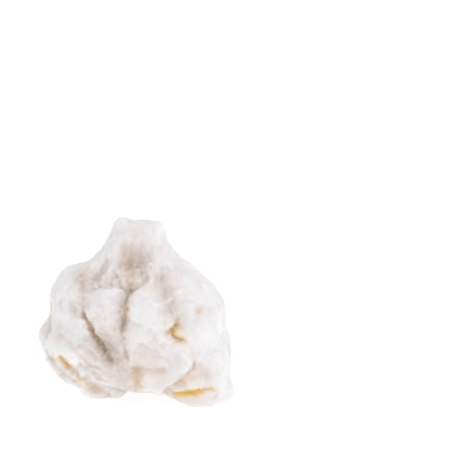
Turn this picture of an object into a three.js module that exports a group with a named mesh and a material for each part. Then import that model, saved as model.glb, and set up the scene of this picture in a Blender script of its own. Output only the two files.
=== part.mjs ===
// A tuft of cotton candy: a loose handful torn from a bigger cloud of spun sugar floss.
// It stands by itself on three matted feet. A thick neck rises from a heap of soft puffs,
// the puffs are parted by creases, and a fold hangs over the right foot.
// Millimetres, +Z up, the shown side towards -Y. The origin is the middle of the footprint,
// on the surface that the tuft stands on. It is one closed body of one material.

import * as THREE from "three";
import { mergeVertices } from "three/addons/utils/BufferGeometryUtils.js";

// ---------------------------------------------------------------- driving dimensions

const WIDTH = 86;           // along X, over the widest puffs
const DEPTH = 63;           // along Y, front puffs to back puffs
const HEIGHT = 83.5;        // along Z, feet to the knob on the neck

const HEART = [0, -3, 36];  // the point that the skin is measured out from
const FARTHEST = 66;        // no puff reaches farther than this from the heart
const NEAREST = 8;          // and no crease comes nearer than this

const SOFTNESS = 2.6;       // how far neighbouring puffs melt into each other
const VIEW_TILT = 14;       // degrees: the creases are laid out as seen from this far above
const CREASED_DEPTH = 1;    // creases fade out behind this Y, and are gone FADE in front of it
const FADE = 8;
const FINEST = 2.2;         // the narrowest crease that these facets can follow
const DETAIL = 20;          // splits along each edge of the icosahedron: 20 * 21^2 triangles
const STEEPEST = 2.2;       // millimetres that a wall may rise for each one along it
const EASING_ROUNDS = 8;    // how many facets such an eased wall may run over
const SMOOTHING = 0.4;      // share of the way that a point moves to its neighbours' mean
const FLAT_BELOW = 0.05;    // what comes this near the ground lies flat on it

// ---------------------------------------------------------------- puffs of floss
// Each puff is an ellipsoid: its middle, its half sizes, and how far its +X end leans down.

const puff = (at, size, lean = 0) => ({ at, size, lean: THREE.MathUtils.degToRad(lean) });

const NECK = [
  puff([1.5, -1, 64], [9.5, 9, 13]),          // the neck itself
  puff([1, -9, 57], [11, 11, 9]),             // its root, above the front puffs
  puff([-4, -1, 75], [4.5, 7, 6]),            // its flat top, left and right
  puff([6, -1, 75.5], [5.5, 7, 5.5]),
  puff([-3.5, -2, 81], [2, 2.6, 2.4]),        // a small knob of pulled floss
  puff([-10.5, -5, 63.5], [7, 9, 13], 36),    // the skirts that widen it downwards
  puff([13, -4, 62], [5, 9, 9], -30),
];

const LEFT_SIDE = [
  puff([-18, -7, 57], [9, 10, 7], -25),       // saddle between neck and shoulder
  puff([-27.8, -5, 49], [10, 15, 12], 14),    // shoulder
  puff([-29, -4, 42], [7, 13, 8]),
  puff([-19, -11, 43], [9, 12, 10]),
  puff([-26, -12, 27.5], [16, 15, 9], 14),    // the big puff left of the slot
  puff([-26, -9, 19], [15.5, 13, 10.5], 36),  // layers that slope down to the left foot
];

const FRONT = [
  puff([-9.5, -19, 43], [10, 10, 12.5]),      // the two puffs in the middle
  puff([8, -19, 38], [12, 10.5, 15], -10),
  puff([-6, -16, 20.5], [13, 11, 7.5], -10),
  puff([4, -17, 15], [12, 9, 5], -5),
  puff([21, -11, 14], [13, 9, 7], -35),       // the wedge under the hanging fold
];

const RIGHT_SIDE = [
  puff([23, -8, 49.5], [17, 14, 11.5], 40),
  puff([26, -10, 37], [13.5, 15, 14]),
  puff([30.5, -8, 19.5], [12.5, 14, 12.5]),
];

const BACK = [
  puff([-3, 13, 53], [14, 11, 12]),
  puff([-20, 15, 35], [14, 12, 14]),
  puff([18, 16, 37], [15, 12, 13]),
  puff([-5, 19, 14], [17, 11, 12]),
  puff([22, 13, 13], [13, 12, 10]),
  puff([-21, 9, 13], [11, 13, 10]),
];

const FEET = [
  puff([-17, -5, 4.5], [9.5, 10, 4.5], 8),
  puff([33, -8.5, 3], [8.5, 9.5, 4]),
  puff([-2, 17, 5], [17, 10, 6]),
];

const MIDDLE = [
  puff([0, -5, 34], [29, 24, 26]),
  puff([0, 7, 33], [28, 20, 25]),
];

const PUFFS = [...MIDDLE, ...NECK, ...LEFT_SIDE, ...FRONT, ...RIGHT_SIDE, ...BACK, ...FEET];

// The hanging fold is a rounded roll along a bent path.
const FOLD = { path: [[22, -23, 32], [24, -23, 24], [19.5, -24, 18], [11, -23, 13]], radius: 3.6 };

// ---------------------------------------------------------------- creases and hollows
// Paths are [across, up] on the front, as seen from VIEW_TILT degrees above.

const CREASES = [
  { path: [[-21, 39], [-17.5, 31.5], [-13, 24], [-9, 17]], width: 2.2, depth: 5 },        // slot
  { path: [[-22.5, 59], [-21.3, 51], [-21.8, 43], [-21, 39]], width: 2.2, depth: 2.6 },   // above it
  { path: [[-10, 62], [-14, 55.5], [-19, 51.5]], width: 2.2, depth: 2.2 },                // saddle
  { path: [[-9, 57], [-6, 51], [-1.5, 48], [3, 51.5]], width: 2.2, depth: 2 },            // neck's root
  { path: [[-1, 49], [-1.5, 42], [-2.8, 34], [-1, 27]], width: 2.2, depth: 3 },           // middle
  { path: [[13, 53], [17, 45], [19.5, 37]], width: 3.6, depth: 2.2 },                     // right
  { path: [[27.2, 25], [27.2, 16], [20, 9], [11.5, 2.5]], width: 2.2, depth: 2.5 },       // fold's edge
  { path: [[17, 2], [25, 3.4], [34, 4.8]], width: 2.2, depth: 2 },                        // above the foot
  { path: [[-36, 20], [-31, 18.5], [-26, 14.5]], width: 2.2, depth: 2 },                  // left layers
  { path: [[-25, 11], [-19, 6.5], [-12, 1]], width: 2.2, depth: 2 },
];

const HOLLOWS = [
  { at: [-0.5, 59], size: [5, 8], depth: 4.5 },          // oval hollow under the neck
  { at: [19.6, 31], size: [3, 3.2], depth: 4 },          // small deep pit on the right
  { at: [-8, 20], size: [5, 4.5], depth: 2.5 },          // where the slot runs out
  { at: [33.5, 12.5], size: [6, 3.5], depth: 2 },        // over the right foot
];

// ---------------------------------------------------------------- the shape as distances
// Each function gives millimetres from a surface: negative inside, positive outside.

function puffDistance(p, { at, size, lean }) {
  const across = p.x - at[0];
  const y = p.y - at[1];
  const up = p.z - at[2];
  const x = across * Math.cos(lean) - up * Math.sin(lean);
  const z = across * Math.sin(lean) + up * Math.cos(lean);
  const [a, b, c] = size;
  const share = Math.hypot(x / a, y / b, z / c);
  const slope = Math.hypot(x / a ** 2, y / b ** 2, z / c ** 2);
  return (share * (share - 1)) / Math.max(slope, 1e-9);
}

/** Distance from a point to a path of straight stretches, both as plain coordinate lists. */
function pathDistance(point, path) {
  let nearest = Infinity;
  for (let i = 1; i < path.length; i += 1) {
    const run = path[i].map((value, axis) => value - path[i - 1][axis]);
    const gone = point.map((value, axis) => value - path[i - 1][axis]);
    const along = dot(run, gone) / dot(run, run);
    const part = THREE.MathUtils.clamp(along, 0, 1);
    nearest = Math.min(nearest, Math.hypot(...gone.map((value, axis) => value - part * run[axis])));
  }
  return nearest;
}

function dot(a, b) {
  return a.reduce((total, value, axis) => total + value * b[axis], 0);
}

/** Puffs and fold melted together: minus the soft logarithm of their summed closeness. */
function melted(p) {
  let closeness = Math.exp((FOLD.radius - pathDistance([p.x, p.y, p.z], FOLD.path)) / SOFTNESS);
  for (const one of PUFFS) {
    closeness += Math.exp(-puffDistance(p, one) / SOFTNESS);
  }
  return -SOFTNESS * Math.log(Math.max(closeness, 1e-300));
}

/** How deep the creases and hollows go in at a point, fading out towards the back. */
function creased(p) {
  const strength = THREE.MathUtils.clamp((CREASED_DEPTH - p.y) / FADE, 0, 1);
  if (strength === 0) return 0;
  const tilt = THREE.MathUtils.degToRad(VIEW_TILT);
  const spot = [p.x, p.z * Math.cos(tilt) + p.y * Math.sin(tilt)];
  let deep = 0;
  for (const { path, width, depth } of CREASES) {
    deep += depth * Math.exp(-((pathDistance(spot, path) / Math.max(width, FINEST)) ** 1.5));
  }
  for (const { at, size, depth } of HOLLOWS) {
    const away = Math.hypot((spot[0] - at[0]) / size[0], (spot[1] - at[1]) / size[1]);
    deep += depth * Math.exp(-(away ** 2));
  }
  return deep * strength;
}

// ---------------------------------------------------------------- unevenness

function fraction(value) {
  return value - Math.floor(value);
}

/** A fixed pseudo-random number from 0 to 1 at each corner of a lattice. */
function corner(i, j, k, seed) {
  return fraction(Math.sin(i * 12.9898 + j * 78.233 + k * 37.719 + seed * 4.1414) * 43758.5453);
}

/** Smooth noise from -1 to 1 with lumps of the given size: corners blended with a soft step. */
function noise(p, size, seed) {
  const cell = [p.x, p.y, p.z].map((value) => Math.floor(value / size));
  const ease = [p.x, p.y, p.z].map((value) => {
    const f = fraction(value / size);
    return f * f * f * (f * (f * 6 - 15) + 10);
  });
  let total = 0;
  for (const dx of [0, 1]) {
    for (const dy of [0, 1]) {
      for (const dz of [0, 1]) {
        const x = dx ? ease[0] : 1 - ease[0];
        const y = dy ? ease[1] : 1 - ease[1];
        const z = dz ? ease[2] : 1 - ease[2];
        total += x * y * z * corner(cell[0] + dx, cell[1] + dy, cell[2] + dz, seed);
      }
    }
  }
  return 2 * total - 1;
}

const SWAY = { size: 17, amount: 2.2 };     // bends every puff out of its plain round form
const LUMPS = { size: 13, amount: 1.3 };    // soft lumps with valleys between them
const TUFTS = { size: 5, amount: 0.7 };     // the small uneven tufts of the surface

/** The whole tuft, cut flat where it stands. */
function tuftDistance(p) {
  const swayed = new THREE.Vector3(
    p.x + SWAY.amount * noise(p, SWAY.size, 1),
    p.y + SWAY.amount * noise(p, SWAY.size, 2),
    p.z + SWAY.amount * noise(p, SWAY.size, 3),
  );
  const lumps = LUMPS.amount * (Math.abs(noise(swayed, LUMPS.size, 5)) - 0.25);
  const tufts = TUFTS.amount * (Math.abs(noise(swayed, TUFTS.size, 6)) - 0.25);
  return Math.max(melted(swayed) + creased(p) - lumps - tufts, -p.z);
}

// ---------------------------------------------------------------- the skin

const heart = new THREE.Vector3(...HEART);
const along = (direction, r) => heart.clone().addScaledVector(direction, r);

/** Outermost distance from the heart at which a ray enters a shape, between start and end. */
function entry(direction, distanceTo, start, end, steps, halvings) {
  let outer = start;
  let inner = end;
  for (let step = 1; step <= steps; step += 1) {
    const r = start + ((end - start) * step) / steps;
    if (distanceTo(along(direction, r)) < 0) {
      inner = r;
      break;
    }
    outer = r;
  }
  for (let k = 0; k < halvings; k += 1) {
    const middle = (outer + inner) / 2;
    if (distanceTo(along(direction, middle)) < 0) inner = middle;
    else outer = middle;
  }
  return (outer + inner) / 2;
}

/** How far the skin is from the heart: first the melted puffs, then the full shape near them. */
function skinReach(direction) {
  const rough = entry(direction, melted, FARTHEST, NEAREST, 30, 4);
  return entry(direction, tuftDistance, rough + 6, Math.max(rough - 14, NEAREST), 14, 14);
}

/** The indices of each vertex's neighbours on an indexed mesh. */
function neighbourLists(index, count) {
  const lists = Array.from({ length: count }, () => new Set());
  for (let i = 0; i < index.length; i += 3) {
    for (const [a, b] of [[0, 1], [1, 2], [2, 0]]) {
      lists[index[i + a]].add(index[i + b]);
      lists[index[i + b]].add(index[i + a]);
    }
  }
  return lists.map((set) => [...set]);
}

/** Raises the foot of each wall that is steeper than STEEPEST, but never through the ground. */
function easeWalls(reaches, directions, neighbours) {
  for (let round = 0; round < EASING_ROUNDS; round += 1) {
    const before = [...reaches];
    directions.forEach((direction, i) => {
      for (const j of neighbours[i]) {
        const step = direction.distanceTo(directions[j]);
        reaches[i] = Math.max(reaches[i], before[j] * (1 - STEEPEST * step));
      }
      const ground = direction.z < 0 ? HEART[2] / -direction.z : Infinity;
      reaches[i] = Math.min(reaches[i], ground);
    });
  }
}

/** Moves every point a share of the way to the mean of its neighbours. */
function smoothed(points, neighbours) {
  return points.map((point, i) => {
    const mean = new THREE.Vector3();
    neighbours[i].forEach((j) => mean.addScaledVector(points[j], 1 / neighbours[i].length));
    return point.clone().lerp(mean, SMOOTHING);
  });
}

function tuftGeometry() {
  const sphere = new THREE.IcosahedronGeometry(1, DETAIL);
  sphere.deleteAttribute("normal");
  sphere.deleteAttribute("uv");
  const skin = mergeVertices(sphere);
  const position = skin.getAttribute("position");
  const neighbours = neighbourLists(skin.index.array, position.count);
  const directions = neighbours.map((_, i) =>
    new THREE.Vector3().fromBufferAttribute(position, i).normalize());
  const reaches = directions.map(skinReach);
  easeWalls(reaches, directions, neighbours);
  const points = directions.map((direction, i) => along(direction, reaches[i]));
  for (const point of points) {
    if (point.z < FLAT_BELOW) point.z = 0;
  }
  smoothed(points, neighbours).forEach((point, i) => position.setXYZ(i, point.x, point.y, point.z));
  skin.computeBoundingBox();
  const size = skin.boundingBox.getSize(new THREE.Vector3());
  const middle = skin.boundingBox.getCenter(new THREE.Vector3());
  skin.translate(-middle.x, -middle.y, 0);
  skin.scale(WIDTH / size.x, DEPTH / size.y, HEIGHT / size.z);
  skin.computeVertexNormals();
  return skin;
}

// ---------------------------------------------------------------- the part

const floss = new THREE.MeshStandardMaterial({ color: 0xeee8e4, roughness: 0.95, metalness: 0 });
const tuft = new THREE.Mesh(tuftGeometry(), floss);
tuft.name = "tuft";

const group = new THREE.Group();
group.add(tuft);

export default group;
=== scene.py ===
import math

import bpy
import numpy as np
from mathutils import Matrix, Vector


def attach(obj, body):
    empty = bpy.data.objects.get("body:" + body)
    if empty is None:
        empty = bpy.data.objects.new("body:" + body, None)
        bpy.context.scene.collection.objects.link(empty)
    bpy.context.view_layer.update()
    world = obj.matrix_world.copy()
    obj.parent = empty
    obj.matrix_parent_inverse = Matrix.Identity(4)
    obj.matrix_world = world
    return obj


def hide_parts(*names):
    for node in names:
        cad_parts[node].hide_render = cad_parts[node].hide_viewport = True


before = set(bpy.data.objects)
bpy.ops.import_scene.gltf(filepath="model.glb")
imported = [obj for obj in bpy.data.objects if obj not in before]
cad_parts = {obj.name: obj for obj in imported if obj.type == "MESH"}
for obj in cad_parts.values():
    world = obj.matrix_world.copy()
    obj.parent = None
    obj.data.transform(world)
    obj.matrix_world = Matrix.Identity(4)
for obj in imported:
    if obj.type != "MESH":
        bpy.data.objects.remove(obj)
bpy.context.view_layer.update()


# ------------------------------------------------------------------ the cloud of floss
# The tuft's body: sugar floss pulled off a bigger cloud by hand, so it is a heap of soft puffs
# melted into each other, parted by creases, with a thick neck on top and three matted feet.
# It is one closed skin, pushed out from the heart of the tuft; the finest threads come later.

MM = 0.001                         # everything is worked out in millimetres
HEART = np.array([0.0, -3.0, 36.0])             # the skin is pushed out from here
FARTHEST = 66.0                    # no puff reaches farther than this from the heart
NEAREST = 8.0                      # and no crease comes nearer than this
SOFTNESS = 2.6                     # how far neighbouring puffs melt into each other
VIEW_TILT = math.radians(14)       # the creases are laid out as seen from this far above
CREASED_DEPTH = 1.0                # behind this depth there are no creases of a side, and
FADE = 8.0                         # this far in front of it they have their full depth
TURN_FADE = 0.25                   # they also fade out where the cloud turns away from a side
HIGHEST_LUMP = 6.0                 # no lump stands out farther than this from the melted puffs
DEEPEST_CREASE = 14.0              # and no crease goes deeper below them
SKIN_STEPS = 120                   # grid squares along one side of each of the skin's six faces
STEEPEST = 2.2                     # millimetres that a wall may rise for each one along it


def puff(at, size, lean=0.0, comb=(0.2, 0.0, 1.0)):
    """An ellipsoid: middle, half sizes, how far its +X end leans down, and its threads' way."""
    return {"at": np.array(at, float), "size": np.array(size, float),
            "lean": math.radians(lean), "comb": np.array(comb, float) / np.linalg.norm(comb)}


PUFFS = [
    # the middle, front and back
    puff((0, -5, 34), (29, 24, 26)),
    puff((0, 7, 33), (28, 20, 25)),
    # the neck, its root, its flat top, the knob on it and the skirts that widen it
    puff((1.5, -1, 64), (9.5, 9, 13), comb=(0.1, 0, 1)),
    puff((1, -9, 57), (11, 11, 9), comb=(0.1, 0, 1)),
    puff((-4, -1, 75), (4.5, 7, 6), comb=(0.3, 0, 1)),
    puff((6, -1, 76.2), (5.8, 7, 5.9), comb=(-0.3, 0, 1)),
    puff((-3.5, -2, 81), (2, 2.6, 2.4), comb=(0.5, 0, 1)),
    puff((-10.5, -5, 63.5), (7, 9, 13), 36, comb=(0.6, 0, 1)),
    puff((13, -4, 62), (5, 9, 9), -30, comb=(-0.5, 0, 1)),
    # the left side: saddle, shoulder, the big puff beside the slot and the layers below it
    puff((-18, -7, 57), (9, 10, 7), -25, comb=(1, 0, 0.6)),
    puff((-28.4, -5, 49.8), (10.3, 15, 12), 14, comb=(0.4, 0, 1)),
    puff((-29, -4, 42), (7, 13, 8)),
    puff((-19, -11, 43), (9, 12, 10)),
    puff((-26, -12, 27.5), (16, 15, 9), 14, comb=(1, 0, -0.7)),
    puff((-26, -9, 19), (15.5, 13, 10.5), 36, comb=(1, 0, -0.8)),
    # the front: two puffs in the middle, two below them, and the wedge under the fold
    puff((-9.5, -19, 43), (10, 10, 12.5)),
    puff((8, -19, 38), (12, 10.5, 15), -10, comb=(-0.5, 0, 1)),
    puff((-6, -16, 20.5), (13, 11, 7.5), -10, comb=(1, 0, -0.4)),
    puff((4, -17, 15), (12, 9, 5), -5, comb=(1, 0, 0.5)),
    puff((21, -11, 14), (13, 9, 7), -35, comb=(1, 0, 0.6)),
    puff((27, -13, 11), (11, 8.5, 8.5), -12, comb=(1, 0, 0.5)),
    # the right side, from the neck down
    puff((23, -8, 49.5), (17, 14, 11.5), 40, comb=(0.8, 0, -1)),
    puff((26, -10, 37), (13.5, 15, 14), comb=(0.15, 0, 1)),
    puff((30.5, -8, 19.5), (12.5, 14, 12.5), comb=(-0.3, 0, 1)),
    # the back
    puff((-3, 13, 53), (14, 11, 12)),
    puff((-20, 15, 35), (14, 12, 14), comb=(0.5, 0, 1)),
    puff((18, 16, 37), (15, 12, 13), comb=(-0.5, 0, 1)),
    puff((-5, 19, 14), (17, 11, 12), comb=(1, 0, 0.3)),
    puff((22, 13, 13), (13, 12, 10), comb=(0.4, 0, 1)),
    puff((-21, 9, 13), (11, 13, 10), comb=(-0.4, 0, 1)),
    # small flaps that stand out at the sides
    puff((40.9, -8.5, 5.2), (2.6, 2.6, 0.9), comb=(1, 0, 0)),
    puff((-39.2, -6, 29.0), (2.2, 2.6, 1.2), comb=(1, 0, 0)),
    puff((38.6, -6, 28.0), (2.0, 2.6, 1.2), -30, comb=(1, 0, 0.5)),
    # the feet
    puff((-17, -5, 4.5), (9.5, 10, 4.5), 8, comb=(1, 0, -0.5)),
    puff((33, -8.5, 3), (8.5, 9.5, 4), comb=(1, 0, 0.1)),
    puff((-2, 17, 5), (17, 10, 6), comb=(1, 0, 0.1)),
]

# The hanging fold over the right foot is a rounded roll along a bent path.
FOLD_PATH = np.array([[22, -22.5, 32], [24, -23, 24], [23, -24, 19.5], [12, -23, 11.8]], float)
FOLD_RADIUS = 3.5


def crease(path, widths, depth, painted_shade=0.6, tan=0.0, amber=0.0, core_shade=0.0):
    """A crease: its path as (across, up), its widths to the left and the right of the way
    along it, and its colours: painted shade, tan that is partly sugar that has caught and
    partly painted warm shade, the amber of melted sugar, and painted dark shade in its core.
    A narrow side is a torn, standing edge. One without depth is only painted shade and stain."""
    return {"path": np.array(path, float), "widths": widths, "depth": depth, "painted_shade": painted_shade,
            "tan": tan, "amber": amber, "core_shade": core_shade}


def hollow(at, size, depth, painted_shade=0.5, tan=0.0, amber=0.0, core_shade=0.0, lean=0.0):
    """An oval dip: middle and half sizes as (across, up), how far its right end leans down,
    and its colours as a crease's: painted shade, tan, amber and painted core shade. One without
    depth is only painted shade and stain, and a negative depth makes a flake that stands up."""
    return {"at": np.array(at, float), "size": np.array(size, float), "depth": depth,
            "painted_shade": painted_shade, "tan": tan, "amber": amber, "core_shade": core_shade,
            "lean": math.radians(lean)}


# The creases and hollows also carry painted shade: darker, warmer colour where the floss lies deep
# and less light reaches it, darkest in the cores of the deepest creases.
FRONT_CREASES = [
    # the slot left of the middle, the crease that runs down into it, and the saddle's crease
    # its dark brown core and the shade beside it are painted shade
    crease([(-22.3, 37.3), (-20.3, 33.9), (-16.4, 26.8), (-13, 20.6)], (1.2, 0.6), 5.5,
           painted_shade=1.0, tan=1.3, core_shade=0.6),
    crease([(-18.4, 30.4), (-16.4, 26.8), (-13, 20.6)], (1.4, 0.8), 0, painted_shade=0, core_shade=1.2),
    crease([(-20.3, 33.9), (-16.4, 26.8), (-12.6, 20)], (3.6, 0.4), 0.4, painted_shade=0.8, tan=0.38),
    crease([(-13, 20.6), (-11.5, 18.6), (-9.6, 17.2)], (1.1, 0.7), 3.0, painted_shade=1.0, tan=0.9,
           core_shade=0.4),
    crease([(-23, 51), (-22.4, 44), (-22.3, 37.3)], (1.7, 1.7), 1.3, tan=0.12),
    crease([(-11.5, 61), (-13.8, 57), (-17.2, 52.6)], (1.3, 1.3), 1.5, painted_shade=1.0, tan=0.15),
    # above the round edge of the puff between slot and middle
    crease([(-19.7, 47.4), (-14.2, 50), (-8.4, 49.6)], (2.4, 0.5), 1.0, painted_shade=0.6, tan=0.05),
    # under the hollow of the neck, down the middle, and down the right of the middle
    crease([(-8, 54), (-5.2, 50), (-1.4, 48.4), (3.7, 50.6), (6, 54)], (2.0, 1.0), 0.9, painted_shade=0.9,
           tan=0.2),
    crease([(-1.5, 48.5), (-2.5, 44), (-3.4, 39), (-4.5, 33)], (1.4, 2.9), 1.8, painted_shade=1.0, tan=0.5,
           core_shade=0.35),
    crease([(-4.5, 33), (-4.4, 26), (-2.5, 19)], (1.4, 2.6), 1.4, painted_shade=0.9, tan=0.25),
    crease([(12.5, 53), (15.3, 46.2), (16.4, 40.6)], (3.8, 3.4), 1.2, painted_shade=0.65, tan=0.22),
    crease([(-1.5, 35), (3.5, 33), (7, 30.4), (9.7, 27.2)], (0.5, 2.2), 0.8, painted_shade=0.3),
    crease([(4, 25), (8.5, 23.6), (12, 20.5)], (0.5, 2.2), 0.8, painted_shade=0.3),
    # the tears of the pit right of the middle, with melted sugar in them and painted dark shade in
    # their cores
    crease([(19.6, 35.4), (19.4, 31.5)], (1.0, 1.8), 1.1, painted_shade=0, tan=0.55, amber=0.35),
    crease([(15.4, 30.2), (17.4, 29.8), (18.6, 31.0)], (1.4, 1.3), 1.2, painted_shade=0, tan=0.7, amber=0.8,
           core_shade=0.2),
    crease([(16.9, 29.6), (18.8, 28.0), (21.8, 26.8)], (0.9, 1.5), 1.3, painted_shade=0, tan=0.7, amber=0.8,
           core_shade=0.3),
    # from the torn pit to the fold, under the fold, and the open slit above the right foot,
    # with painted dark shade in the slit's core
    crease([(23, 25), (25.2, 20.5), (26.3, 16.8)], (2.0, 0.5), 0.5, painted_shade=0.3, tan=0.1),
    crease([(25.6, 14.2), (24.5, 12.4), (18.5, 7.9), (13, 3.8)], (2.8, 0.35), 2.0, painted_shade=0,
           tan=0.55, amber=0.12),
    crease([(19.6, 1.3), (24, 1.8), (29, 2.9)], (1.9, 1.9), 1.4, painted_shade=0, tan=0.6, amber=1.15),
    crease([(21.4, 1.8), (25, 2.3), (28.6, 3.0)], (0.5, 0.5), 2.2, painted_shade=0, tan=1.0, amber=1.0,
           core_shade=0.4),
    crease([(29, 2.9), (35, 4.1)], (1.3, 1.1), 0.7, painted_shade=0, tan=0.6, amber=0.45),
    # the layers at the lower left
    crease([(-32.4, 18.6), (-30.3, 16.6), (-28.2, 14.6)], (0.8, 1.2), 2.6, tan=0.4, amber=1.3,
           core_shade=0.3),
    crease([(-28, 14.2), (-21.5, 7.4), (-16.2, 3.4), (-12.6, 0.7)], (0.5, 2.2), 1.4, painted_shade=0.4,
           tan=0.45),
    crease([(-23.6, 15), (-19, 12), (-14.5, 9.6)], (0.5, 1.7), 0.9, painted_shade=0.4, tan=0.3),
    crease([(-38, 20), (-34.5, 14.5), (-30.5, 10.5), (-25, 6)], (0.5, 1.8), 1.1, painted_shade=0.4, tan=0.35),
    crease([(-23.3, 24.3), (-20, 21), (-17, 18.1)], (0.5, 1.2), 0.9, tan=0.1),
    crease([(-24.5, 19.8), (-20.5, 16), (-15.5, 13)], (0.4, 1.0), 0.7, painted_shade=0.5, tan=0.15),
    crease([(-19.5, 15.2), (-15.5, 12), (-10.5, 9.8)], (0.4, 1.0), 0.7, painted_shade=0.5, tan=0.15),
    crease([(-27, 12.2), (-22.5, 8.4), (-17.5, 5.4)], (0.4, 1.0), 0.6, painted_shade=0.3, tan=0.3),
    crease([(-29, 26), (-25, 22), (-21, 17.5)], (0.5, 1.3), 0.7, tan=0.05),
    # beside and above the plain face at the bottom
    crease([(2.0, 12.6), (2.3, 9), (1.8, 4.8)], (2.2, 3.0), 0.5, painted_shade=0.2, tan=0.85, amber=0.1),
    crease([(-1, 14), (5, 14), (12.6, 13)], (1.2, 2.4), 0.4, painted_shade=0.25, tan=0.5),
]

FRONT_HOLLOWS = [
    # in the neck and, last, in the saddle
    hollow((0.2, 59.5), (5.0, 7.5), 2.5, painted_shade=1.0, tan=0.35),
    hollow((-1.9, 60), (3.6, 6.8), 0, tan=0.85),
    hollow((3.6, 56), (2.0, 5.0), 0.5, painted_shade=0.8, tan=0.35),
    hollow((1.4, 71), (7.5, 7), 0, painted_shade=0.4, tan=0.05),
    hollow((-22.6, 53), (3.3, 4.4), 1.4, painted_shade=0.8, tan=0.35, core_shade=0.06),
    # two flakes that stand in the torn pit right of the middle, and the pit's ground
    hollow((17.2, 33.4), (1.5, 1.6), -0.8, painted_shade=0),
    hollow((20.2, 29.7), (1.9, 1.1), -0.8, painted_shade=0, lean=20),
    hollow((18.9, 30.6), (3.6, 4.2), 0.6, painted_shade=0, tan=0.35, amber=0.42),
    # the deep part beside the slot, and the soft dips
    hollow((-17, 52), (6.5, 3.0), 0.6, painted_shade=0.5, tan=0.05, lean=-40),
    hollow((-11.5, 22), (8.5, 4.6), 2.4, painted_shade=1.2, tan=0.55, lean=60),
    hollow((-13, 38), (4, 4.5), 0.8, painted_shade=0.35),
    hollow((-26.4, 40), (2.2, 3.3), 1.2, painted_shade=0.5, tan=0.25),
    hollow((-32.9, 42.8), (2.2, 3.3), 1.0, painted_shade=0.5),
    hollow((-32.9, 27.8), (2.2, 1.8), 0.9, painted_shade=0.5, tan=0.1),
    hollow((29.6, 39.4), (1.7, 2.6), 0.5, painted_shade=0.1, tan=0.5, lean=25),
    hollow((33.7, 38.4), (2.6, 1.8), 0.2, painted_shade=0.1, tan=0.15),
    hollow((31.5, 10.5), (4, 2.8), 0.5, painted_shade=0.3, tan=0.3),
    hollow((-36.6, 17), (2.2, 1.4), 0.8, tan=0.5, amber=0.4, lean=30),
    hollow((-5.5, 8), (5.5, 6.0), 0.8, painted_shade=0.9, tan=0.14),
    # patches without depth: painted shade, and stains of caught and melted sugar
    hollow((28, -1), (10, 3), 0, painted_shade=0.3, tan=0.14),
    hollow((7, 20), (9, 6), 0, painted_shade=0.5, tan=0.1),
    hollow((-8, 28), (4, 6.5), 0, painted_shade=0.6, tan=0.08),
    hollow((13, 7), (4.5, 4), 0, painted_shade=0.3, tan=0.08),
    hollow((22.3, 7.4), (6.0, 2.3), 0, painted_shade=0.1, tan=0.45, amber=0.14, lean=-34),
    hollow((16.5, 2.6), (4, 1.6), 0, painted_shade=0.1, tan=0.5, amber=0.12),
    hollow((-24.2, 8.3), (2.8, 1.9), 0, painted_shade=0.2, tan=0.6, amber=0.3, lean=30),
    hollow((-18.5, 3.4), (6.5, 2.3), 0, painted_shade=0.2, tan=0.6, amber=0.08, lean=30),
    hollow((-1.4, 50.6), (1.1, 0.9), 0, painted_shade=0.2, tan=0.6, amber=0.25),
    hollow((-33, 10), (3, 4), 0, painted_shade=0.2, tan=0.35, lean=35),
]

RIGHT_CREASES = [
    crease([(-2, 56), (2, 46), (-1, 36), (3, 26)], (1.0, 2.4), 1.8, tan=0.35),
    crease([(-1, 36), (8, 31), (15, 24)], (0.8, 2.2), 1.4, tan=0.25),
    crease([(-7, 14), (-1, 11), (6, 13), (14, 10)], (0.6, 2.4), 1.6, tan=0.4),
    crease([(8, 50), (12, 44), (12, 38)], (1.8, 1.8), 1.0, tan=0.1),
]

RIGHT_HOLLOWS = [
    hollow((-9, 40), (3, 4), 1.0, painted_shade=0.4),
    hollow((12, 17), (3, 2.4), 1.0, tan=0.3),
]

BACK_CREASES = [
    crease([(2, 58), (-3, 48), (1, 38), (-4, 29)], (2.4, 0.9), 2.2, painted_shade=0.8, tan=0.4),
    crease([(-4, 29), (-13, 24), (-21, 26)], (2.4, 0.7), 1.8, tan=0.45),
    crease([(-4, 29), (5, 22), (14, 21), (24, 15)], (0.7, 2.6), 1.9, tan=0.4),
    crease([(12, 50), (17, 42), (16, 34)], (1.6, 1.6), 1.5, tan=0.2),
    crease([(-16, 47), (-20, 40), (-19, 33)], (0.9, 2.0), 1.5, tan=0.25),
    crease([(-30, 17), (-22, 12), (-12, 12)], (0.6, 2.0), 1.3, tan=0.4),
    crease([(2, 12), (8, 6), (16, 4)], (0.6, 2.0), 1.1, tan=0.4),
]

BACK_HOLLOWS = [
    hollow((9, 31), (4, 5), 1.2, painted_shade=0.5),
    hollow((-9, 40), (3, 4), 0.8, painted_shade=0.5),
    hollow((26, 33), (1.8, 5), 0.7, painted_shade=0.4, lean=-35),
    hollow((-28, 31), (2, 4), 0.8, lean=25),
    hollow((-6, 17), (4, 2.5), 0.8, tan=0.35),
    hollow((-13.5, 23.5), (1.8, 0.9), 0.6, painted_shade=0, tan=0.4, amber=0.8),
]

LEFT_CREASES = [
    crease([(0, 54), (-3, 44), (2, 34), (-1, 24)], (2.0, 0.9), 1.8, tan=0.35),
    crease([(2, 34), (9, 28), (14, 22)], (0.7, 2.0), 1.3, tan=0.25),
    crease([(-16, 20), (-6, 14), (5, 12)], (0.6, 2.2), 1.4, tan=0.4),
    crease([(-12, 44), (-14, 36)], (1.8, 1.8), 1.0),
]

LEFT_HOLLOWS = [
    hollow((-10, 30), (3, 4), 1.0),
    hollow((10, 42), (2.5, 3), 0.8, painted_shade=0.4),
]

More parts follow.
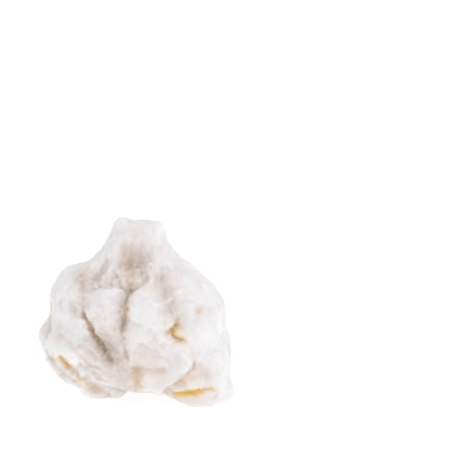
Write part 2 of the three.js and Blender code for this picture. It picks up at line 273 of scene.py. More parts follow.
# Each side's turn about Z, and how squarely a place has to face it to feel its creases: the
# front's reach round its sides, the others' stay well inside their own.
SIDES = [
    (0, -1.0, FRONT_CREASES, FRONT_HOLLOWS),
    (90, 0.65, RIGHT_CREASES, RIGHT_HOLLOWS),
    (180, 0.35, BACK_CREASES, BACK_HOLLOWS),
    (270, 0.65, LEFT_CREASES, LEFT_HOLLOWS),
]


def unit(vectors):
    """Vectors of length one: each divided by its length."""
    return vectors / np.maximum(np.linalg.norm(vectors, axis=-1, keepdims=True), 1e-12)


def corner_value(i, j, k, seed):
    """A fixed pseudo-random number from 0 to 1 at each corner of a lattice."""
    s = np.sin(i * 12.9898 + j * 78.233 + k * 37.719 + seed * 4.1414) * 43758.5453
    return s - np.floor(s)


def noise(p, size, seed):
    """Smooth noise from -1 to 1 with lumps of the given size: lattice corners blended with
    the soft step 6f^5 - 15f^4 + 10f^3."""
    cell = np.floor(p / size)
    f = p / size - cell
    f = f * f * f * (f * (f * 6 - 15) + 10)
    total = np.zeros(len(p))
    for dx in (0, 1):
        for dy in (0, 1):
            for dz in (0, 1):
                wx = f[:, 0] if dx else 1 - f[:, 0]
                wy = f[:, 1] if dy else 1 - f[:, 1]
                wz = f[:, 2] if dz else 1 - f[:, 2]
                value = corner_value(cell[:, 0] + dx, cell[:, 1] + dy, cell[:, 2] + dz, seed)
                total += wx * wy * wz * value
    return 2 * total - 1


def noise_vector(p, size, seed):
    """Three noises of one size, with seeds that follow each other, as a vector."""
    return np.stack([noise(p, size, seed + k) for k in range(3)], 1)


def lumps(p, size, seed):
    """Round lumps parted by sharp valleys: noise without its sign, less about its mean."""
    return np.abs(noise(p, size, seed)) - 0.25


def puff_distance(p, one):
    """Distance to an ellipsoid, nearly true close to it: (k - 1) / |gradient of k|, where k is
    the point's distance from the middle in units of the half sizes."""
    q = p - one["at"]
    c, s = math.cos(one["lean"]), math.sin(one["lean"])
    q = np.stack([q[:, 0] * c - q[:, 2] * s, q[:, 1], q[:, 0] * s + q[:, 2] * c], 1)
    share = np.linalg.norm(q / one["size"], axis=1)
    slope = np.linalg.norm(q / one["size"] ** 2, axis=1)
    return share * (share - 1) / np.maximum(slope, 1e-9)


def path_distance(p, path):
    """Distance from points to a path of straight stretches."""
    nearest = np.full(len(p), 1e9)
    for a, b in zip(path[:-1], path[1:]):
        run = b - a
        part = np.clip(((p - a) @ run) / (run @ run), 0, 1)
        nearest = np.minimum(nearest, np.linalg.norm(p - a - part[:, None] * run, axis=1))
    return nearest


def left_of(p, path):
    """Which points (across, up) lie left of the way along a path, by its nearest stretch."""
    away = np.full(len(p), 1e9)
    left = np.zeros(len(p), bool)
    for a, b in zip(path[:-1], path[1:]):
        stretch = path_distance(p, np.array([a, b]))
        nearer = stretch < away
        turn = (b - a)[0] * (p - a)[:, 1] - (b - a)[1] * (p - a)[:, 0]
        left = np.where(nearer, turn > 0, left)
        away = np.minimum(away, stretch)
    return left


def melted(p):
    """All puffs and the fold as one: minus the soft logarithm of their summed closeness."""
    closeness = np.exp((FOLD_RADIUS - path_distance(p, FOLD_PATH)) / SOFTNESS)
    for one in PUFFS:
        closeness += np.exp(-puff_distance(p, one) / SOFTNESS)
    return -SOFTNESS * np.log(np.maximum(closeness, 1e-300))


def seen_from(p, turn):
    """(across, up) and depth of points as the tuft is seen from a turn, VIEW_TILT above."""
    c, s = math.cos(math.radians(turn)), math.sin(math.radians(turn))
    depth = p[:, 1] * c - p[:, 0] * s
    up = p[:, 2] * math.cos(VIEW_TILT) + depth * math.sin(VIEW_TILT)
    return np.stack([p[:, 0] * c + p[:, 1] * s, up], 1), depth


def crease_share(one, spot, spread):
    """exp(-(distance / width)^1.5) of a crease, or exp(-(distance / size)^2) of a hollow."""
    if "path" in one:
        width = one["widths"][0]
        if width != one["widths"][1]:
            width = np.where(left_of(spot, one["path"]), *one["widths"])
        away = path_distance(spot, one["path"]) / (width * spread)
        return np.exp(-(away ** 1.5))
    c, s = math.cos(one["lean"]), math.sin(one["lean"])
    q = spot - one["at"]
    q = np.stack([q[:, 0] * c - q[:, 1] * s, q[:, 0] * s + q[:, 1] * c], 1)
    return np.exp(-np.sum((q / (one["size"] * spread)) ** 2, axis=1))


# what makes the creases' edges ragged: how far they stray, in bends of which size, and a seed
RAGGED_EDGES = [(0.9, 5.0, 11), (0.7, 2.0, 16), (0.3, 0.9, 18)]


def crease_shares(p, spread=1.0):
    """How much of each crease and hollow a point feels, with ragged edges, fading out behind
    its side of the tuft."""
    ragged = np.zeros((len(p), 2))
    for stray, size, seed in RAGGED_EDGES:
        ragged = ragged + stray * np.stack([noise(p, size, seed), noise(p, size, seed + 1)], 1)
    outward = unit(p - HEART)
    for turn, squarely, creases, hollows in SIDES:
        spot, depth = seen_from(p, turn)
        facing = -seen_from(outward, turn)[1]
        felt = np.clip((CREASED_DEPTH - depth) / FADE, 0, 1)
        felt = felt * np.clip((facing - squarely) / TURN_FADE, 0, 1)
        near = np.flatnonzero(felt)
        for one in creases + hollows:
            share = np.zeros(len(p))
            share[near] = felt[near] * crease_share(one, spot[near] + ragged[near], spread)
            yield one, share


BEND_STRAY, BEND_SIZE = 2.2, 17.0          # slow bends of the whole cloud
BROAD_HEIGHT, BROAD_SIZE = 0.8, 13.0       # broad lumps on it
SMALL_HEIGHT, SMALL_SIZE = 0.9, 6.0        # small ones
TORN_HEIGHT, TORN_SIZE = 0.5, 2.8          # and torn tufts, which are bent themselves
TORN_STRAY = 1.5
CALM_FRONT = 0.6                           # how much lower the small ones are on the front


def tuft_distance(p):
    """The whole cloud: melted puffs bent by slow noise, less creases of uneven depth, plus
    lumps and torn tufts, which are lower on its front, cut flat on the ground."""
    q = p + BEND_STRAY * noise_vector(p, BEND_SIZE, 1)
    distance = melted(q)
    uneven = 1 + 0.4 * noise(p, 4.0, 52) + 0.3 * noise(p, 1.7, 53)
    for one, share in crease_shares(p):
        distance += one["depth"] * share * uneven
    ruffled = 1 - CALM_FRONT * np.clip(-unit(p - HEART)[:, 1], 0, 1)
    torn_place = q + TORN_STRAY * noise_vector(q, SMALL_SIZE, 51)
    distance -= BROAD_HEIGHT * lumps(q, BROAD_SIZE, 5)
    distance -= SMALL_HEIGHT * ruffled * lumps(q, SMALL_SIZE, 6)
    distance -= TORN_HEIGHT * ruffled * lumps(torn_place, TORN_SIZE, 9)
    return np.maximum(distance, -p[:, 2])


def entry(shape, directions, start, end, steps, halvings):
    """Outermost distance from the heart at which each ray enters a shape: even steps inwards
    until the shape's distance turns negative, then halvings."""
    outer = np.array(start, float)
    inner = np.array(end, float)
    todo = np.arange(len(directions))
    for step in range(1, steps + 1):
        r = start[todo] + (end[todo] - start[todo]) * step / steps
        hit = shape(HEART + directions[todo] * r[:, None]) < 0
        inner[todo[hit]] = r[hit]
        outer[todo[~hit]] = r[~hit]
        todo = todo[~hit]
        if len(todo) == 0:
            break
    for _ in range(halvings):
        middle = (outer + inner) / 2
        inside = shape(HEART + directions * middle[:, None]) < 0
        inner = np.where(inside, middle, inner)
        outer = np.where(inside, outer, middle)
    return (outer + inner) / 2


# each face of the cube that is blown up into a sphere: outward axis, first and second grid axis
CUBE_FACES = np.array([
    [(1, 0, 0), (0, 1, 0), (0, 0, 1)],
    [(-1, 0, 0), (0, -1, 0), (0, 0, 1)],
    [(0, 1, 0), (-1, 0, 0), (0, 0, 1)],
    [(0, -1, 0), (1, 0, 0), (0, 0, 1)],
    [(0, 0, 1), (1, 0, 0), (0, 1, 0)],
    [(0, 0, -1), (0, 1, 0), (1, 0, 0)],
], float)


def cube_sphere(n):
    """Directions on six n x n grids whose lines are evenly turned, u = tan(angle), and the
    grids' squares as corner numbers, with the corners that faces share merged."""
    t = np.tan(np.linspace(-math.pi / 4, math.pi / 4, n + 1))
    u, v = np.meshgrid(t, t, indexing="ij")
    out, first, second = CUBE_FACES[:, 0], CUBE_FACES[:, 1], CUBE_FACES[:, 2]
    grid = (out[:, None, None] + u[None, ..., None] * first[:, None, None]
            + v[None, ..., None] * second[:, None, None])
    every = unit(grid.reshape(-1, 3))
    _, kept, number = np.unique(np.round(every, 6), axis=0, return_index=True,
                                return_inverse=True)
    number = number.reshape(6, n + 1, n + 1)
    squares = np.stack([number[:, :-1, :-1], number[:, 1:, :-1], number[:, 1:, 1:],
                        number[:, :-1, 1:]], -1).reshape(-1, 4)
    return every[kept], squares, number


def neighbour_mean(values, squares):
    """The mean of the squares' middles round each corner, for numbers or for points."""
    middle = values[squares].mean(1)
    columns = middle.reshape(len(squares), -1)
    count = np.zeros(len(values))
    total = np.zeros((len(values), columns.shape[1]))
    for k in range(4):
        count += np.bincount(squares[:, k], minlength=len(values))
        for c in range(columns.shape[1]):
            total[:, c] += np.bincount(squares[:, k], weights=columns[:, c],
                                       minlength=len(values))
    return (total / count[:, None]).reshape(values.shape)


def ease_walls(reach, directions, squares, rounds=24):
    """Raises the foot of each wall that is too steep: every corner is at least its neighbour's
    reach less STEEPEST times the step between them, but never goes through the ground."""
    sides = np.concatenate([squares[:, [a, (a + 1) % 4]] for a in range(4)])
    sides = np.concatenate([sides, sides[:, ::-1]])
    step = np.linalg.norm(directions[sides[:, 0]] - directions[sides[:, 1]], axis=1)
    down = np.maximum(-directions[:, 2], 1e-6)
    ground = np.where(directions[:, 2] < 0, HEART[2] / down, np.inf)
    for _ in range(rounds):
        lowest = reach[sides[:, 1]] * (1 - STEEPEST * step)
        reach = reach.copy()
        np.maximum.at(reach, sides[:, 0], lowest)
        reach = np.minimum(reach, ground)
    return reach


COMB_SOFTNESS = 3.0                        # over this far one puff's comb turns into the next's
COMB_STRAY, COMB_SIZE = 0.7, 14.0          # slow bends of the comb


def comb_way(p):
    """The way the threads run at a point: the nearby puffs' ways, weighted by closeness, bent
    by slow noise."""
    total = np.zeros_like(p)
    for one in PUFFS:
        weight = np.exp(-np.clip(puff_distance(p, one), -20, 60) / COMB_SOFTNESS)
        total += weight[:, None] * one["comb"]
    return unit(unit(total) + COMB_STRAY * noise_vector(p, COMB_SIZE, 31))


def streaks(p, size, length, seed):
    """Relief of pulled floss: the mean of seven noises along the threads' way, over the given
    length, so that it runs in streaks."""
    way = comb_way(p)
    steps = np.linspace(-length / 2, length / 2, 7)
    return sum(noise(p + way * s, size, seed) for s in steps) / len(steps)


EVENED = 0.5                       # share of the way that a corner moves to its neighbours' mean
BROAD_ROUNDS = 40                  # times that the reach is evened out to give the surroundings
CAVITY_DEPTH = 3.0                 # this far below them a place is a full cavity
STREAK_HEIGHT = 0.12
STREAK_FADE = 2.0                  # streaks fade out over this height above the ground

directions, skin_squares, skin_numbers = cube_sphere(SKIN_STEPS)
rough = entry(melted, directions, np.full(len(directions), FARTHEST),
              np.full(len(directions), NEAREST), steps=30, halvings=4)
skin_reach = entry(tuft_distance, directions, rough + HIGHEST_LUMP,
                   np.maximum(rough - DEEPEST_CREASE, NEAREST), steps=14, halvings=9)
skin_reach = ease_walls(skin_reach, directions, skin_squares)
skin = HEART + directions * skin_reach[:, None]
skin = skin + EVENED * (neighbour_mean(skin, skin_squares) - skin)

broad_reach = skin_reach
for _ in range(BROAD_ROUNDS):
    broad_reach = neighbour_mean(broad_reach, skin_squares)
cavity = np.clip((broad_reach - skin_reach) / CAVITY_DEPTH, 0, 1)

relief = (STREAK_HEIGHT * streaks(skin, size=1.6, length=7.0, seed=41)
          + STREAK_HEIGHT * streaks(skin, size=0.9, length=4.0, seed=42))
skin = skin + directions * (relief * np.clip(skin[:, 2] / STREAK_FADE, 0, 1))[:, None]
skin[:, 2] = np.maximum(skin[:, 2], 0)
skin_grid = np.linalg.norm(skin - HEART, axis=1)[skin_numbers]


def floss_mesh(name, points, faces, material, **values):
    """A piece of floss from points in millimetres and faces of one size, with a number or a
    direction on each point for every named value, riding on the tuft's one body."""
    mesh = bpy.data.meshes.new(name)
    size = faces.shape[1]
    mesh.vertices.add(len(points))
    mesh.vertices.foreach_set("co", (points * MM).astype(np.float32).ravel())
    mesh.loops.add(faces.size)
    mesh.loops.foreach_set("vertex_index", faces.astype(np.int32).ravel())
    mesh.polygons.add(len(faces))
    mesh.polygons.foreach_set("loop_start", np.arange(0, faces.size, size, dtype=np.int32))
    mesh.update(calc_edges=True)
    mesh.polygons.foreach_set("use_smooth", np.ones(len(faces), bool))
    for key, numbers in values.items():
        numbers = np.asarray(numbers, np.float32)
        if numbers.ndim == 2:
            attribute = mesh.attributes.new(key, "FLOAT_VECTOR", "POINT")
            attribute.data.foreach_set("vector", numbers.ravel())
        else:
            attribute = mesh.attributes.new(key, "FLOAT", "POINT")
            attribute.data.foreach_set("value", numbers)
    mesh.materials.append(material)
    piece = bpy.data.objects.new(name, mesh)
    bpy.context.scene.collection.objects.link(piece)
    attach(piece, "root")
    return piece


# The colours laid on the floss, in order: painted shade, where the floss lies deep and less
# light reaches it; tan, partly sugar that has caught and partly painted warm shade in the
# creases; amber, where the sugar has melted; and painted dark shade in the narrow cores of the
# deepest creases. Each has its colour, and how much wider than the shape of its crease it is felt.
WHITE = (0.97, 0.938, 0.95, 1)
SHADE_AND_TINTS = {
    "painted_shade": ((0.80, 0.735, 0.715, 1), 1.5),
    "tan": ((0.70, 0.55, 0.395, 1), 1.15),
    "amber": ((0.93, 0.60, 0.06, 1), 0.85),
    "core_shade": ((0.51, 0.325, 0.195, 1), 0.75),
}
CAVITY_PAINTED_SHADE = 0.35                 # painted shade of a full cavity that no crease has made


def painted_shade_and_tints(p):
    """The shares of painted shade, tan, amber and painted core shade at points: each the most
    that any crease or hollow there gives."""
    shade_and_tints = {}
    for colouring, (_, spread) in SHADE_AND_TINTS.items():
        shade_and_tints[colouring] = np.zeros(len(p))
        for one, share in crease_shares(p, spread):
            shade_and_tints[colouring] = np.maximum(shade_and_tints[colouring], one[colouring] * share)
    return shade_and_tints


def node(tree, kind, **settings):
    """A new node of a tree, with its settings made."""
    made = tree.nodes.new(kind)
    for key, value in settings.items():
        setattr(made, key, value)
    return made


def mix_colour(tree, factor, a, b):
    """Colour a with the given share of colour b, all three from sockets."""
    mix = node(tree, "ShaderNodeMix", data_type="RGBA")
    for index, source in ((0, factor), (6, a), (7, b)):
        tree.links.new(source, mix.inputs[index])
    return mix.outputs[2]


def calculate(tree, operation, a, b):
    """Two values, each a socket or a number, added, subtracted or multiplied."""
    math_node = node(tree, "ShaderNodeMath", operation=operation)
    for index, source in ((0, a), (1, b)):
        if isinstance(source, bpy.types.NodeSocket):
            tree.links.new(source, math_node.inputs[index])
        else:
            math_node.inputs[index].default_value = source
    return math_node.outputs[0]


# The floss shade mixes painted shade and the sugar's tints over white, each by its attribute,
# with slight random darker patches all over (Mottle). Its height is fine noise averaged along
# the pull of the threads.
shade = bpy.data.node_groups.new("floss shade", "ShaderNodeTree")
for socket_name in ("White", "Painted_shade", "Tan", "Amber", "Core_shade"):
    shade.interface.new_socket(socket_name, in_out="INPUT", socket_type="NodeSocketColor")
shade.interface.new_socket("Mottle", in_out="INPUT", socket_type="NodeSocketFloat")
shade.interface.new_socket("Colour", in_out="OUTPUT", socket_type="NodeSocketColor")
shade.interface.new_socket("Height", in_out="OUTPUT", socket_type="NodeSocketFloat")
shade_in = node(shade, "NodeGroupInput")
shade_out = node(shade, "NodeGroupOutput")
place = node(shade, "ShaderNodeTexCoord").outputs["Object"]
patches = node(shade, "ShaderNodeTexNoise")
patches.inputs["Scale"].default_value = 140.0
patches.inputs["Detail"].default_value = 3.0
shade.links.new(place, patches.inputs["Vector"])
patchy = calculate(shade, "SUBTRACT", patches.outputs["Fac"], 0.5)
patchy = calculate(shade, "MULTIPLY", patchy, shade_in.outputs["Mottle"])

colour = shade_in.outputs["White"]
for colouring in SHADE_AND_TINTS:
    share = node(shade, "ShaderNodeAttribute", attribute_name=colouring).outputs["Fac"]
    if colouring == "painted_shade":
        share = calculate(shade, "ADD", share, patchy)
    colour = mix_colour(shade, share, colour, shade_in.outputs[colouring.capitalize()])
shade.links.new(colour, shade_out.inputs["Colour"])

FIBRE_STEPS = (-0.9, -0.45, 0.0, 0.45, 0.9)        # where along the pull the noise is taken
pull = node(shade, "ShaderNodeAttribute", attribute_name="pull").outputs["Vector"]
fibre_height = 0.0
for step in FIBRE_STEPS:
    stretch = node(shade, "ShaderNodeVectorMath", operation="SCALE")
    stretch.inputs["Scale"].default_value = step * MM
    shade.links.new(pull, stretch.inputs[0])
    shifted = node(shade, "ShaderNodeVectorMath", operation="ADD")
    shade.links.new(place, shifted.inputs[0])
    shade.links.new(stretch.outputs[0], shifted.inputs[1])
    fibres = node(shade, "ShaderNodeTexNoise")
    fibres.inputs["Scale"].default_value = 2600.0
    fibres.inputs["Detail"].default_value = 1.5
    shade.links.new(shifted.outputs[0], fibres.inputs["Vector"])
    share = calculate(shade, "MULTIPLY", fibres.outputs["Fac"], 1 / len(FIBRE_STEPS))
    fibre_height = calculate(shade, "ADD", fibre_height, share)
shade.links.new(fibre_height, shade_out.inputs["Height"])


def floss_material(name, white, subsurface, glow):
    """Matt sugar floss. Light goes deep into the cloud (subsurface); the fine threads instead
    pass it on to each other, which a painted glow, a share of white light given back, stands for."""
    material = bpy.data.materials.new(name)
    material.use_nodes = True
    tree = material.node_tree
    shader = tree.nodes["Principled BSDF"]
    colouring_node = node(tree, "ShaderNodeGroup", node_tree=shade)
    colouring_node.inputs["White"].default_value = white
    for colouring, (colouring_rgba, _) in SHADE_AND_TINTS.items():
        colouring_node.inputs[colouring.capitalize()].default_value = colouring_rgba
    colouring_node.inputs["Mottle"].default_value = 0.09
    tree.links.new(colouring_node.outputs["Colour"], shader.inputs["Base Color"])
    bump = node(tree, "ShaderNodeBump")
    bump.inputs["Strength"].default_value = 1.0
    bump.inputs["Distance"].default_value = 0.2 * MM
    tree.links.new(colouring_node.outputs["Height"], bump.inputs["Height"])
    tree.links.new(bump.outputs["Normal"], shader.inputs["Normal"])
    shader.inputs["Roughness"].default_value = 0.9
    shader.inputs["Specular IOR Level"].default_value = 0.25
    shader.inputs["Sheen Weight"].default_value = 0.5
    shader.inputs["Sheen Roughness"].default_value = 0.5
    shader.inputs["Subsurface Weight"].default_value = subsurface
    shader.inputs["Subsurface Radius"].default_value = (1.0, 0.9, 0.8)
    shader.inputs["Subsurface Scale"].default_value = 3.0 * MM
    shader.inputs["Emission Color"].default_value = white
    shader.inputs["Emission Strength"].default_value = glow
    return material


cloud_floss = floss_material("cloud floss", WHITE, subsurface=1.0, glow=0.0)
# the cloud's colours: painted shade in its creases, hollows and cavities, with the sugar's tints
shade_and_tints = painted_shade_and_tints(skin)
shade_and_tints["painted_shade"] = np.clip(shade_and_tints["painted_shade"] + CAVITY_PAINTED_SHADE * cavity, 0, 1)
cloud = floss_mesh("cloud", skin, skin_squares, cloud_floss, pull=comb_way(skin), **shade_and_tints)
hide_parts("tuft")


# ------------------------------------------------------------------ threads on the cloud
# Spun sugar threads that lie on the cloud: long ones combed the way the floss was pulled,
# short matted ones across them, and loose ends that stand off into the air.
# Each is a thin closed tube of three sides with a point at each end.

THREAD_WHITE = (0.99, 0.97, 0.975, 1)
THREAD_SHADE_AND_TINT = 0.8                  # share of the cloud's painted shade and tints that the threads on it take
THREAD_DARKENING = 0.25                 # and the most that a single thread is darkened of its own, at random
UNDERSIDE = 0.3                    # nothing grows on the cloud below this height
ABOVE_TABLE = 0.15                 # and no thread's line comes lower than this
DIP_SPAN = 1.5                     # a thread spans dips up to this deep

rng = np.random.default_rng(7)
# the threads' glow is painted light, standing in for the light they pass on to each other
thread_floss = floss_material("thread floss", THREAD_WHITE, subsurface=0.0, glow=0.12)


def grid_place(d):
    """Face, and place on its grid, of directions from the heart."""
    face = (d @ CUBE_FACES[:, 0].T).argmax(1)
    out, first, second = (CUBE_FACES[face, k] for k in range(3))
    depth = (d * out).sum(1)
    x = (np.arctan((d * first).sum(1) / depth) / (math.pi / 2) + 0.5) * SKIN_STEPS
    y = (np.arctan((d * second).sum(1) / depth) / (math.pi / 2) + 0.5) * SKIN_STEPS
    return face, np.clip(x, 0, SKIN_STEPS), np.clip(y, 0, SKIN_STEPS)


def reach_at(d):
    """The skin's reach in given directions, blended between its four nearest corners."""
    face, x, y = grid_place(d)
    i = np.minimum(x.astype(int), SKIN_STEPS - 1)
    j = np.minimum(y.astype(int), SKIN_STEPS - 1)
    fx, fy = x - i, y - j
    return (skin_grid[face, i, j] * (1 - fx) * (1 - fy) + skin_grid[face, i + 1, j] * fx * (1 - fy)
            + skin_grid[face, i, j + 1] * (1 - fx) * fy + skin_grid[face, i + 1, j + 1] * fx * fy)


def scattered_roots(count):
    """Points spread evenly over the skin: squares drawn by area, then a place in each."""
    a, b, c, d = (skin[skin_squares[:, k]] for k in range(4))
    area = np.linalg.norm(np.cross(c - a, d - b), axis=1) / 2
    area[a[:, 2] < UNDERSIDE] = 0
    pick = rng.choice(len(area), count, p=area / area.sum())
    u, v = rng.random((2, count, 1))
    return ((1 - u) * (1 - v) * a[pick] + u * (1 - v) * b[pick]
            + u * v * c[pick] + (1 - u) * v * d[pick])


def lines_along(roots, heading, points, lengths, bend):
    """Lines of equal steps from each root, kept on the skin: each step starts along the last
    one, turned by the bend times the step's share of the line."""
    line = [roots]
    for k in range(1, points):
        p = line[-1]
        out = unit(p - HEART)
        along = unit(heading - (heading * out).sum(1, keepdims=True) * out)
        d = unit(p + along * (lengths / (points - 1))[:, None] - HEART)
        line.append(HEART + d * reach_at(d)[:, None])
        heading = unit(along + bend * k / points)
    return np.stack(line, 1)


def laid_threads(line, lift):
    """Threads' lines raised by lift * sin(pi s), each by its own share of the lift, and pulled
    towards the straight line between their ends, by up to DIP_SPAN."""
    count, points, _ = line.shape
    reach = np.linalg.norm(line - HEART, axis=2)
    way = (line - HEART) / reach[..., None]
    s = np.linspace(0, 1, points)
    chord = reach[:, :1] * (1 - s) + reach[:, -1:] * s
    reach = reach + rng.random(count)[:, None] * np.clip(chord - reach, 0, DIP_SPAN)
    reach = reach + lift * (rng.random(count) ** 2)[:, None] * np.sin(math.pi * s)
    line = HEART + way * reach[..., None]
    line[..., 2] = np.maximum(line[..., 2], ABOVE_TABLE)
    return line


def thread_tubes(line, radius, sides=3):
    """Closed tubes: a ring of radius * sin(pi s)^0.5 round each inner point, a point at each
    end. Gives corners, triangles and the corners in one tube."""
    count, points, _ = line.shape
    s = np.linspace(0, 1, points)[1:-1]
    along = unit(np.gradient(line, axis=1))
    across = np.array([0.31, 0.57, 0.76])          # any way that few threads run along
    side = unit(np.cross(along, across))
    up = np.cross(along, side)
    turn = np.arange(sides) / sides * 2 * math.pi
    ring = (np.cos(turn)[:, None] * side[:, 1:-1, None] + np.sin(turn)[:, None] * up[:, 1:-1, None])
    thick = radius[:, None] * np.sqrt(np.sin(math.pi * s))
    ring = line[:, 1:-1, None] + ring * thick[..., None, None]
    corners = np.concatenate([line[:, :1], ring.reshape(count, -1, 3), line[:, -1:]], 1)
    each = corners.shape[1]
    faces = []
    for j in range(sides):
        k = (j + 1) % sides
        last = 1 + (points - 3) * sides
        faces.append((0, 1 + k, 1 + j))
        faces.append((each - 1, last + j, last + k))
        for start in range(1, last, sides):
            faces.append((start + j, start + k, start + sides + k))
            faces.append((start + j, start + sides + k, start + sides + j))
    faces = np.arange(count)[:, None, None] * each + np.array(faces)[None]
    return corners.reshape(-1, 3), faces.reshape(-1, 3), each


def threads(name, roots, heading, points, length, radius, lift, curl):
    """One piece of many threads of a kind, each between half and one and a half times the
    given length, and given the painted shade and tints of the cloud at its middle."""
    count = len(roots)
    line = lines_along(roots, heading, points, length * rng.uniform(0.5, 1.5, count),
                       curl * rng.normal(size=(count, 3)))
    line = laid_threads(line, lift)
    corners, faces, each = thread_tubes(line, radius * rng.uniform(0.6, 1.5, count))
    shade_and_tints = painted_shade_and_tints(line[:, points // 2])
    shade_and_tints["painted_shade"] = shade_and_tints["painted_shade"] + THREAD_DARKENING * rng.random(count) ** 2
    shade_and_tints = {key: np.repeat(THREAD_SHADE_AND_TINT * share, each) for key, share in shade_and_tints.items()}
    return floss_mesh(name, corners, faces, thread_floss, **shade_and_tints)


def headings(roots, stray):
    """The comb's way, either way along it, strayed from by the given share."""
    sense = np.where(rng.random(len(roots)) < 0.5, 1, -1)[:, None]
    return unit(comb_way(roots) * sense + stray * rng.normal(size=(len(roots), 3)))


roots = scattered_roots(count=8000)
threads("combed_threads", roots, headings(roots, stray=0.2), points=5, length=7.0,
        radius=0.025, lift=0.15, curl=0.5)
roots = scattered_roots(count=5000)
threads("matted_threads", roots, headings(roots, stray=0.7), points=5, length=4.5,
        radius=0.025, lift=0.15, curl=0.8)
roots = scattered_roots(count=5000)
threads("loose_threads", roots, headings(roots, stray=0.9), points=6, length=5.0,
        radius=0.022, lift=1.3, curl=0.9)


# ------------------------------------------------------------------ the nap
# Broken ends of threads, of the same floss, that stand off the cloud on every side and blur
# its outline. Each is rooted in the cloud, leans with the comb and bends by s^2 along it.

NAP = 12000
NAP_LONGEST = 2.2
NAP_RADIUS = 0.022
NAP_LEAN, NAP_STRAY, NAP_BEND = 0.8, 0.6, 0.45
NAP_TABLE = 0.1                    # no line of the nap comes lower than this
FREE_SHADE_AND_TINT = 0.6                    # share of the cloud's painted shade and tints that free ends take


def shaded_and_tinted_floss(name, line, radius, places):
    """One piece of tubes along the given lines, each given the painted shade and tints of the
    cloud at its place.
    """
    corners, faces, each = thread_tubes(line, radius)
    shade_and_tints = {key: np.repeat(FREE_SHADE_AND_TINT * share, each)
             for key, share in painted_shade_and_tints(places).items()}
    return floss_mesh(name, corners, faces, thread_floss, **shade_and_tints)


roots = scattered_roots(count=NAP)
ways = unit(unit(roots - HEART) + NAP_LEAN * comb_way(roots)
            + NAP_STRAY * rng.normal(size=(NAP, 3)))
lengths = rng.uniform(0.4, 1.0, NAP) ** 2 * NAP_LONGEST
s = np.linspace(0, 1, 4)[:, None]
bend = NAP_BEND * rng.normal(size=(NAP, 1, 3))
line = roots[:, None] + lengths[:, None, None] * (ways[:, None] * s + bend * s ** 2)
line[..., 2] = np.maximum(line[..., 2], NAP_TABLE)
shaded_and_tinted_floss("nap", line, NAP_RADIUS * rng.uniform(0.7, 1.3, NAP), places=roots)


# ------------------------------------------------------------------ stuck strands
# Thicker strands, where several threads have stuck together. They are laid on the cloud like
# the threads, along its comb.

roots = scattered_roots(count=1500)
threads("stuck_strands", roots, headings(roots, stray=0.35), points=6, length=7.0,
        radius=0.045, lift=0.2, curl=0.7)


# ------------------------------------------------------------------ wisps
# The thickest strands, where many threads have stuck together. Most of them bridge the
# creases, pulled across as the floss parted, and a few lie elsewhere.

MOST_WISPS = 2200
WISP_SPREAD = 1.6                  # how much wider than its shape a crease draws wisps
WISP_SHARE = 0.25                  # and how much of it a wisp's root has to feel
BRIDGED_DEPTH = 0.5                # only creases deeper than this are bridged
ELSEWHERE = 0.06                   # share of the other roots that bear a wisp too

roots = scattered_roots(count=9000)
near_crease = np.zeros(len(roots))
for one, share in crease_shares(roots, WISP_SPREAD):
    near_crease = np.maximum(near_crease, share * (one["depth"] > BRIDGED_DEPTH))
roots = roots[(near_crease > WISP_SHARE) | (rng.random(len(roots)) < ELSEWHERE)][:MOST_WISPS]
threads("wisps", roots, headings(roots, stray=0.8), points=8, length=4.5,
        radius=0.06, lift=0.4, curl=0.9)


# ------------------------------------------------------------------ pulled tips
# Little tips where the floss was plucked: a dozen threads that rise together from a patch of
# the cloud, lean the way it was pulled and run nearly into one point.

SMALL_TIPS = 170
SHORTEST_TIP, LONGEST_TIP = 0.8, 2.2       # of the small ones
TIP_RISE, TIP_STRAY = 0.75, 0.4            # how much they stand up, and stray from the comb
TIP_THREADS = 12
TIP_POINTS = 5
TIP_RADIUS = 0.025
PATCH_SHARE = 0.28                 # half the width of a tip's patch, as a share of its length
PATCH_SHRINK = 0.75                # how much closer together the threads are at the point
TIP_DEPTH = 0.3                    # the threads start this far below the skin
TIP_DROOP, THREAD_DROOP = 0.25, 0.1        # of a whole tip, and of each thread in it
# where the longest tips stand, the way they point and their length
PLACED_TIPS = [
    ((41, -9, 9), (1, 0, -0.15), 4.5),
    ((42, -9, 27), (1, 0, 0.6), 2.5),
    ((-42, -6, 27), (-1, 0, 0.1), 3.5),
    ((-35, -8, 8), (-1, 0, -0.5), 3.0),
    ((-4, -2, 83), (-0.5, 0, 1), 2.5),
    ((9, -1, 81), (0.7, 0, 0.6), 2.5),
    ((-2, -3, 83), (0.8, 0, 0.7), 2.0),
    ((-7, -2, 80), (-0.9, 0, 0.5), 2.2),
    ((-34, -4, 56), (-0.8, 0, 0.8), 2.5),
    ((36, -6, 52), (0.8, 0, 0.5), 2.5),
]


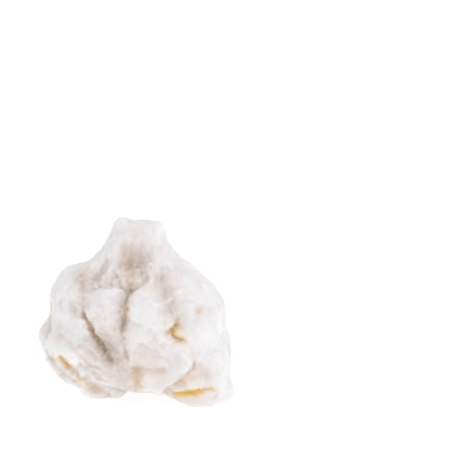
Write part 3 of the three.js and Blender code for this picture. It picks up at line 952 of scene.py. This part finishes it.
def tip_lines(roots, ways, lengths):
    """Threads' lines of tips: each thread's place in the patch shrinks as 1 - PATCH_SHRINK s
    while the line runs its length along the way and droops by s^2."""
    count = len(roots)
    out = unit(roots - HEART)
    aslant = np.array([0.2, 0.9, 0.3])             # any way that few tips stand along
    side = unit(np.cross(out, aslant))
    turn, away = rng.random((2, count, TIP_THREADS, 1))
    turn = turn * 2 * math.pi
    patch = np.sqrt(away) * (np.cos(turn) * side[:, None]
                             + np.sin(turn) * np.cross(out, side)[:, None])
    s = np.linspace(0, 1, TIP_POINTS)[:, None]
    reach = lengths[:, None, None, None] * rng.uniform(0.6, 1.0, (count, TIP_THREADS, 1, 1))
    droop = TIP_DROOP * rng.normal(size=(count, 1, 1, 3))
    droop = droop + THREAD_DROOP * rng.normal(size=(count, TIP_THREADS, 1, 3))
    width = (PATCH_SHARE * lengths)[:, None, None, None]
    line = (roots[:, None, None] - TIP_DEPTH * out[:, None, None]
            + width * patch[:, :, None] * (1 - PATCH_SHRINK * s)
            + reach * (ways[:, None, None] * s + droop * s ** 2))
    line[..., 2] = np.maximum(line[..., 2], ABOVE_TABLE)
    return line.reshape(-1, TIP_POINTS, 3)


roots = scattered_roots(count=SMALL_TIPS)
out = unit(roots - HEART)
sense = np.where(rng.random(SMALL_TIPS) < 0.5, 1.0, -1.0)[:, None]
ways = unit(comb_way(roots) * sense + TIP_RISE * out
            + TIP_STRAY * rng.normal(size=(SMALL_TIPS, 3)))
lengths = rng.uniform(SHORTEST_TIP, LONGEST_TIP, SMALL_TIPS)
placed = np.array([one[0] for one in PLACED_TIPS], float)
nearest = np.linalg.norm(skin[None] - placed[:, None], axis=2).argmin(1)
roots = np.concatenate([roots, skin[nearest]])
ways = np.concatenate([ways, unit(np.array([one[1] for one in PLACED_TIPS], float))])
lengths = np.concatenate([lengths, [one[2] for one in PLACED_TIPS]])
line = tip_lines(roots, ways, lengths)
tip_radius = TIP_RADIUS * rng.uniform(0.6, 1.5, len(line))
shaded_and_tinted_floss("pulled_tips", line, tip_radius, places=line[:, TIP_POINTS // 2])


# ------------------------------------------------------------------ table, light and camera
# A wide white table that gives off a little light, so that it is as white as what is behind
# it, soft light from all round, a soft lamp above on the right, and a camera a little above
# the tuft. Lengths are in metres here.

TABLE_REACH = 3.0                  # from its middle to each edge
LIT_PLACE = Vector((0, 0, 0.04))   # the lamp points at the middle of the tuft

floor_mesh = bpy.data.meshes.new("floor")
floor_corners = [(TABLE_REACH * x, TABLE_REACH * y, 0)
                 for x, y in ((-1, -1), (1, -1), (1, 1), (-1, 1))]
floor_mesh.from_pydata(floor_corners, [], [(0, 1, 2, 3)])
floor = bpy.data.objects.new("floor", floor_mesh)
bpy.context.scene.collection.objects.link(floor)
table_white = bpy.data.materials.new("table white")
table_white.use_nodes = True
table_shader = table_white.node_tree.nodes["Principled BSDF"]
table_shader.inputs["Base Color"].default_value = (0.5, 0.5, 0.5, 1)
table_shader.inputs["Roughness"].default_value = 0.8
table_shader.inputs["Emission Color"].default_value = (1, 1, 1, 1)
table_shader.inputs["Emission Strength"].default_value = 0.64
floor_mesh.materials.append(table_white)

world = bpy.data.worlds.new("studio")
world.use_nodes = True
background = world.node_tree.nodes["Background"]
background.inputs["Color"].default_value = (1, 1, 1, 1)
background.inputs["Strength"].default_value = 0.85
bpy.context.scene.world = world

lamp_light = bpy.data.lights.new("softbox", "AREA")
lamp_light.size = 0.35
lamp_light.energy = 0.57
lamp = bpy.data.objects.new("softbox", lamp_light)
lamp.location = (0.44, -0.28, 0.55)
lamp.rotation_euler = (LIT_PLACE - lamp.location).to_track_quat("-Z", "Y").to_euler()
bpy.context.scene.collection.objects.link(lamp)

camera_data = bpy.data.cameras.new("camera")
camera_data.lens = 131.4
camera_data.sensor_width = 36
camera = bpy.data.objects.new("camera", camera_data)
camera.location = (0.0404, -0.7173, 0.2585)
camera.rotation_euler = (math.radians(90) - VIEW_TILT, 0, 0)
bpy.context.scene.collection.objects.link(camera)
bpy.context.scene.camera = camera
bpy.context.scene.view_settings.view_transform = "Standard"
